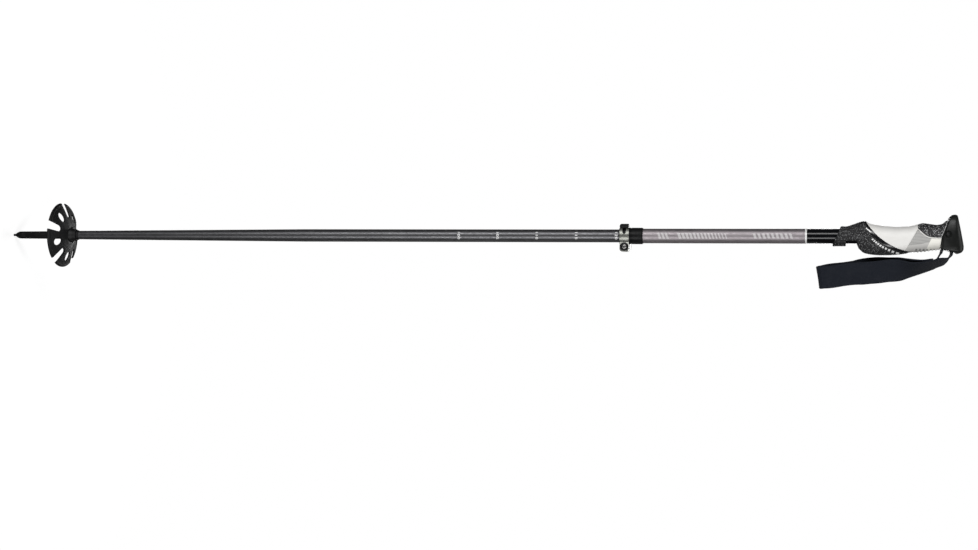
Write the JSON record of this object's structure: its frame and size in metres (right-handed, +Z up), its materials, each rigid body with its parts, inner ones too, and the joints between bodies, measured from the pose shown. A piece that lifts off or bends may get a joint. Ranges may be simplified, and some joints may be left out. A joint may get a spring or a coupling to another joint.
{
  "type": "ski pole",
  "caption": "Adjustable two-section ski pole with a shaped grip, looped wrist strap, lever clamp, domed slotted basket and hard-metal tip.",
  "frame": {"origin": "centre of the flat end of the carbide tip", "axes": "+Z up the shaft to the grip, +X to the side the wrist strap hangs on, the tension screw's head looks along -Y"},
  "size_m": [0.1056, 0.085, 1.2281],
  "materials": {
    "carbide": "ground",
    "black_plastic": "fine moulded grain",
    "basket_plastic": "soft moulded, turning marks",
    "graphite_tube": "anodised, satin",
    "mauve_tube": "metallic lacquer",
    "satin_metal": "satin cast",
    "lever_metal": "black anodised",
    "steel": "bright",
    "black_rubber": "knurled, matte",
    "gloss_black": "gloss",
    "white_rubber": "smooth satin",
    "grey_rubber": "checkered, satin",
    "navy_webbing": "woven"
  },
  "bodies": {
    "handle": {"upper_shaft": "mauve_tube", "upper_plug": "black_plastic", "clamp_sleeve": "black_plastic", "clamp_band": "satin_metal", "cam_washer": "steel", "grip_body": "black_rubber", "grip_accent": "gloss_black", "grip_palm": "white_rubber", "grip_panel": "grey_rubber", "thumb_pad": "black_rubber", "grip_cap": "black_plastic", "strap_pin": "steel", "strap_anchor": "navy_webbing"},
    "guide": {"guide_bush": "black_plastic"},
    "lower": {"lower_shaft": "graphite_tube", "lower_plug": "black_plastic", "tip_ferrule": "black_plastic", "carbide_tip": "carbide"},
    "basket": {"basket": "basket_plastic"},
    "screw": {"tension_screw": "steel"},
    "barrel": {"lever_pin": "steel"},
    "lever": {"clamp_lever": "lever_metal"},
    "wedge": {"strap_wedge": "black_plastic"},
    "strap": {"strap_loop": "navy_webbing"}
  },
  "joints": [
    {"name": "length_slide", "type": "slide", "parent": "handle", "child": "guide", "axis": [0, 0, 1], "range_m": [-0.05, 0.2]},
    {"name": "lower_turn", "type": "hinge", "parent": "guide", "child": "lower", "pos_m": [0, 0, 0.97], "axis": [0, 0, 1], "continuous": true},
    {"name": "basket_turn", "type": "hinge", "parent": "lower", "child": "basket", "pos_m": [0, 0, 0.0915], "axis": [0, 0, -1], "range_deg": [0, 540]},
    {"name": "screw_turn", "type": "hinge", "parent": "handle", "child": "screw", "pos_m": [0.0134, -0.006, 0.8237], "axis": [0, -1, 0], "range_deg": [0, 270]},
    {"name": "pin_travel", "type": "slide", "parent": "handle", "child": "barrel", "axis": [0, 1, 0], "range_m": [0, 0.000524]},
    {"name": "lever_swing", "type": "hinge", "parent": "barrel", "child": "lever", "pos_m": [0.0134, 0.0148, 0.8237], "axis": [0, 0, -1], "range_deg": [0, 150]},
    {"name": "wedge_slide", "type": "slide", "parent": "handle", "child": "wedge", "axis": [1, 0, 0], "range_m": [0, 0.003]},
    {"name": "strap_swing", "type": "hinge", "parent": "handle", "child": "strap", "pos_m": [0.033, 0, 1.1945], "axis": [0, -1, 0], "range_deg": [-2, 110]}
  ],
  "couplings": [
    {"joint": "screw_turn", "follows": "pin_travel", "rad_per_m": 8976}
  ]
}
